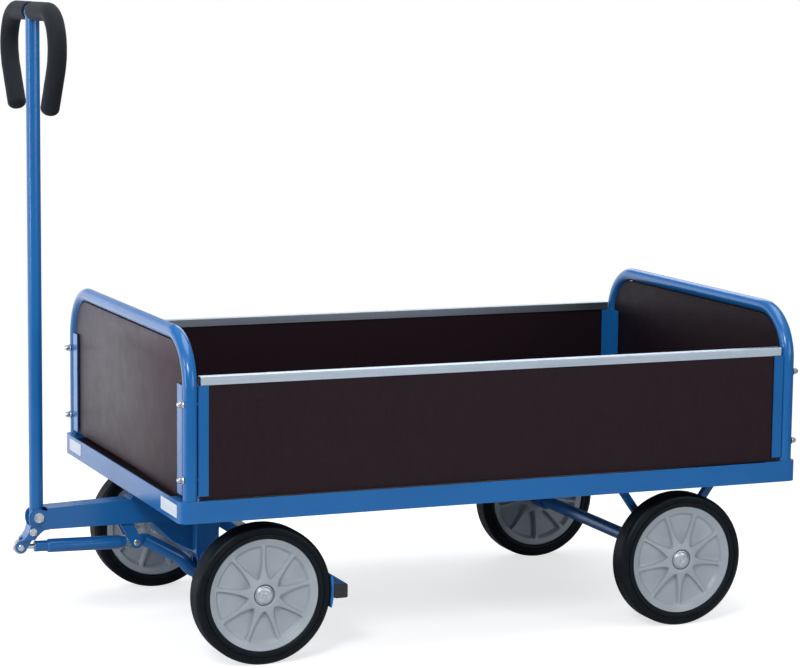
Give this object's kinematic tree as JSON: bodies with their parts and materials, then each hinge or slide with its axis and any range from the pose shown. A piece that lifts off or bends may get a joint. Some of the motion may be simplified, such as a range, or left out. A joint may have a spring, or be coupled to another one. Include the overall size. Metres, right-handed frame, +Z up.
{
  "type": "platform handcart",
  "caption": "Four-wheel platform handcart: blue steel frame, dark board walls, turntable front axle, upright drawbar with foam handle and tyre brake.",
  "frame": {"origin": "on the ground, below the middle of the overall length and width", "axes": "+Z up, +X from the drawbar end towards the rear, +Y to the left-hand side for a person at the drawbar who faces the cart"},
  "size_m": [1.4106, 0.74, 1.148],
  "materials": {
    "blue_paint": "satin powder coat",
    "coated_board": "dark film-faced plywood, fine wire-mesh texture",
    "edge_strip": "galvanised, satin",
    "zinc": "bright zinc plated",
    "tyre": "matt solid rubber",
    "grey_plastic": "moulded, satin",
    "bush_plastic": "moulded bearing plastic",
    "foam": "matt foam",
    "black_plastic": "moulded, satin",
    "blank_plate": "blank film, no print"
  },
  "bodies": {
    "chassis": {"deck_frame": "blue_paint", "cross_members": "blue_paint", "deck_board": "coated_board", "corner_sockets": "blue_paint", "corner_profiles": "blue_paint", "front_end_tube": "blue_paint", "rear_end_tube": "blue_paint", "front_end_panel": "coated_board", "rear_end_panel": "coated_board", "corner_screws": "zinc", "corner_dome_nuts": "zinc", "rear_axle": "blue_paint", "rear_axle_washers": "zinc", "rear_hub_caps": "zinc", "rear_axle_struts": "blue_paint", "turntable_upper_plate": "blue_paint", "king_bolt": "zinc", "blank_plates": "blank_plate"},
    "right_wall": {"right_side_board": "coated_board", "right_side_cap": "edge_strip"},
    "left_wall": {"left_side_board": "coated_board", "left_side_cap": "edge_strip"},
    "bogie": {"turntable_lower_plate": "blue_paint", "drawbar_beam": "blue_paint", "axle_post": "blue_paint", "front_axle": "blue_paint", "front_axle_washers": "zinc", "front_hub_caps": "zinc", "drawbar_pivot_bolt": "zinc", "hanger_pin": "blue_paint"},
    "front_right_wheel": {"front_right_tyre": "tyre", "front_right_rim": "grey_plastic", "front_right_bush": "bush_plastic"},
    "front_left_wheel": {"front_left_tyre": "tyre", "front_left_rim": "grey_plastic", "front_left_bush": "bush_plastic"},
    "rear_right_wheel": {"rear_right_tyre": "tyre", "rear_right_rim": "grey_plastic", "rear_right_bush": "bush_plastic"},
    "rear_left_wheel": {"rear_left_tyre": "tyre", "rear_left_rim": "grey_plastic", "rear_left_bush": "bush_plastic"},
    "drawbar": {"drawbar_tube": "blue_paint", "drawbar_bush": "bush_plastic", "handle_bow": "blue_paint", "right_grip": "foam", "left_grip": "foam"},
    "brake_lever": {"brake_lever": "blue_paint", "lever_stop_bolt": "zinc", "lever_pin": "zinc"},
    "brake_strut": {"strut_stud": "zinc", "strut_tube": "blue_paint", "strut_fork": "zinc"},
    "hangers": {"hanger_links": "blue_paint"},
    "brake_frame": {"brake_bow": "blue_paint", "bow_pin": "zinc", "brake_bar": "blue_paint", "brake_bar_caps": "black_plastic", "brake_shoes": "blue_paint"}
  },
  "joints": [
    {"name": "turntable", "type": "hinge", "parent": "chassis", "child": "bogie", "pos_m": [-0.34327, 0, 0.255], "axis": [0, 0, 1], "range_deg": [-50, 50]},
    {"name": "right_wall_lift", "type": "slide", "parent": "chassis", "child": "right_wall", "axis": [0, 0, 1], "range_m": [0, 0.25]},
    {"name": "left_wall_lift", "type": "slide", "parent": "chassis", "child": "left_wall", "axis": [0, 0, 1], "range_m": [0, 0.25]},
    {"name": "front_right_spin", "type": "hinge", "parent": "bogie", "child": "front_right_wheel", "pos_m": [-0.34327, -0.317, 0.125], "axis": [0, 1, 0], "continuous": true},
    {"name": "front_left_spin", "type": "hinge", "parent": "bogie", "child": "front_left_wheel", "pos_m": [-0.34327, 0.317, 0.125], "axis": [0, 1, 0], "continuous": true},
    {"name": "rear_right_spin", "type": "hinge", "parent": "chassis", "child": "rear_right_wheel", "pos_m": [0.48273, -0.312, 0.125], "axis": [0, 1, 0], "continuous": true},
    {"name": "rear_left_spin", "type": "hinge", "parent": "chassis", "child": "rear_left_wheel", "pos_m": [0.48273, 0.312, 0.125], "axis": [0, 1, 0], "continuous": true},
    {"name": "drawbar_tilt", "type": "hinge", "parent": "bogie", "child": "drawbar", "pos_m": [-0.66227, 0, 0.2225], "axis": [0, -1, 0], "range_deg": [0, 75]},
    {"name": "lever_swing", "type": "hinge", "parent": "bogie", "child": "brake_lever", "pos_m": [-0.66227, 0, 0.2225], "axis": [0, -1, 0], "range_deg": [0, 5.84]},
    {"name": "strut_swing", "type": "hinge", "parent": "brake_lever", "child": "brake_strut", "pos_m": [-0.69278, 0, 0.1675], "axis": [0, -1, 0], "range_deg": [-4.16, 0]},
    {"name": "hanger_swing", "type": "hinge", "parent": "bogie", "child": "hangers", "pos_m": [-0.50228, 0, 0.21], "axis": [0, -1, 0], "range_deg": [0, 7.25]},
    {"name": "brake_frame_swing", "type": "hinge", "parent": "hangers", "child": "brake_frame", "pos_m": [-0.47728, 0, 0.1625], "axis": [0, -1, 0], "range_deg": [-7.25, 0]}
  ],
  "couplings": [
    {"joint": "lever_swing", "follows": "drawbar_tilt", "ratio": 0.077173},
    {"joint": "strut_swing", "follows": "drawbar_tilt", "ratio": -0.054833},
    {"joint": "hanger_swing", "follows": "drawbar_tilt", "ratio": 0.096},
    {"joint": "brake_frame_swing", "follows": "drawbar_tilt", "ratio": -0.096}
  ]
}
